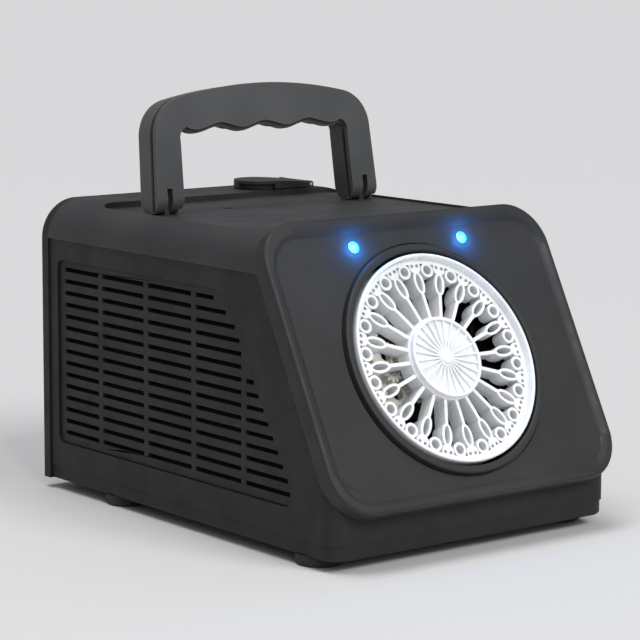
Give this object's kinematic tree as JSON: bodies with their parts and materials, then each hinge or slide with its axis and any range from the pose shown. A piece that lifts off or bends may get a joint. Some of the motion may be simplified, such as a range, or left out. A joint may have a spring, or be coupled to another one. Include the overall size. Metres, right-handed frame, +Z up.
{
  "type": "bubble machine",
  "caption": "Free-standing bubble machine: a boxy case with a sloping front, a turning wheel of loops, two lights, louvred sides and a folding carry handle.",
  "frame": {"origin": "on the floor, under the middle of the case between its front and rear walls", "axes": "+Z up, the sloping front with the wheel faces -Y, +X to the viewer's right when looking at the front"},
  "size_m": [0.17, 0.2414, 0.2031],
  "materials": {
    "case_plastic": "fine spark texture",
    "panel_plastic": "fine spark texture, a little smoother than the case",
    "handle_plastic": "fine spark texture",
    "white_plastic": "semi-gloss moulded",
    "rubber": "matt",
    "gear_plastic": "natural acetal",
    "steel": "ground",
    "brass": "plain",
    "motor_can": "zinc plated",
    "screw_steel": "zinc plated",
    "inner_plastic": "moulded",
    "hose_vinyl": "translucent vinyl",
    "led_lens": "clear, lit blue from behind",
    "led_chip": "lit blue",
    "circuit_board": "green solder mask",
    "cell_wrap": "printed-free wrap",
    "switch_plastic": "polished",
    "cable": "soft jacket"
  },
  "bodies": {
    "case": {"top_shell": "case_plastic", "side_housing": "case_plastic", "base_tray": "case_plastic", "rear_cover": "case_plastic", "front_panel": "panel_plastic", "wheel_collar": "panel_plastic", "side_grille_left": "case_plastic", "side_grille_right": "case_plastic", "rubber_feet": "rubber", "handle_pivots": "steel", "lid_pin": "steel", "filler_funnel": "inner_plastic", "fill_hose": "hose_vinyl", "liquid_tank": "inner_plastic", "wheel_bush": "brass", "wheel_motor": "motor_can", "motor_screws": "screw_steel", "gear_plate": "inner_plastic", "gear_pins": "steel", "plate_screws": "screw_steel", "fan_duct": "inner_plastic", "fan_spider": "inner_plastic", "duct_screws": "screw_steel", "fan_motor": "motor_can", "led_lenses": "led_lens", "led_emitters": "led_chip", "led_board": "circuit_board", "led_board_screws": "screw_steel", "battery_box": "inner_plastic", "battery_cells": "cell_wrap", "battery_contacts": "brass", "battery_door_pin": "steel", "switch_frame": "switch_plastic", "power_socket": "switch_plastic", "control_board": "circuit_board", "board_screws": "screw_steel", "wiring": "cable", "top_screws": "screw_steel", "base_screws": "screw_steel", "rear_screws": "screw_steel", "panel_screws": "screw_steel"},
    "wheel": {"bubble_wheel": "white_plastic", "wheel_hub_cap": "white_plastic", "wheel_shaft": "steel", "wheel_gear": "gear_plastic", "shaft_clip": "steel"},
    "gear_two": {"reduction_gear_two": "gear_plastic"},
    "gear_one": {"reduction_gear_one": "gear_plastic"},
    "pinion": {"motor_pinion": "gear_plastic", "wheel_motor_shaft": "steel"},
    "fan": {"fan_impeller": "inner_plastic", "fan_shaft": "steel"},
    "handle": {"handle_front": "handle_plastic", "handle_rear": "handle_plastic", "handle_screws": "screw_steel"},
    "lid": {"filler_lid": "case_plastic", "lid_seal": "rubber"},
    "door": {"battery_door": "case_plastic"},
    "rocker": {"power_rocker": "switch_plastic"},
    "plug": {"drain_plug": "rubber"}
  },
  "joints": [
    {"name": "wheel_spin", "type": "hinge", "parent": "case", "child": "wheel", "pos_m": [0, -0.08929, 0.08499], "axis": [0, -0.887, 0.4617], "continuous": true},
    {"name": "gear_two_spin", "type": "hinge", "parent": "case", "child": "gear_two", "pos_m": [-0.0224, -0.08929, 0.08499], "axis": [0, -0.887, 0.4617], "continuous": true},
    {"name": "gear_one_spin", "type": "hinge", "parent": "case", "child": "gear_one", "pos_m": [-0.0328, -0.08098, 0.10096], "axis": [0, -0.887, 0.4617], "continuous": true},
    {"name": "pinion_spin", "type": "hinge", "parent": "case", "child": "pinion", "pos_m": [-0.0328, -0.07137, 0.11941], "axis": [0, -0.887, 0.4617], "continuous": true},
    {"name": "fan_spin", "type": "hinge", "parent": "case", "child": "fan", "pos_m": [0.024, -0.07821, 0.10627], "axis": [0, -0.887, 0.4617], "continuous": true},
    {"name": "handle_fold", "type": "hinge", "parent": "case", "child": "handle", "pos_m": [0, 0.0489, 0.1494], "axis": [1, 0, 0], "range_deg": [0, 98]},
    {"name": "lid_open", "type": "hinge", "parent": "case", "child": "lid", "pos_m": [0.06, 0.0986, 0.1468], "axis": [0, 1, 0], "range_deg": [0, 105]},
    {"name": "battery_door_open", "type": "hinge", "parent": "case", "child": "door", "pos_m": [0, 0.1165, 0.017], "axis": [-1, 0, 0], "range_deg": [0, 90]},
    {"name": "rocker_tip", "type": "hinge", "parent": "case", "child": "rocker", "pos_m": [-0.058, 0.114, 0.104], "axis": [1, 0, 0], "range_deg": [-8, 8]},
    {"name": "drain_pull", "type": "slide", "parent": "case", "child": "plug", "axis": [0, 0, -1], "range_m": [0, 0.012]}
  ],
  "couplings": [
    {"joint": "gear_two_spin", "follows": "wheel_spin", "ratio": -3.6667},
    {"joint": "gear_one_spin", "follows": "wheel_spin", "ratio": 12.222},
    {"joint": "pinion_spin", "follows": "wheel_spin", "ratio": -40.741}
  ]
}
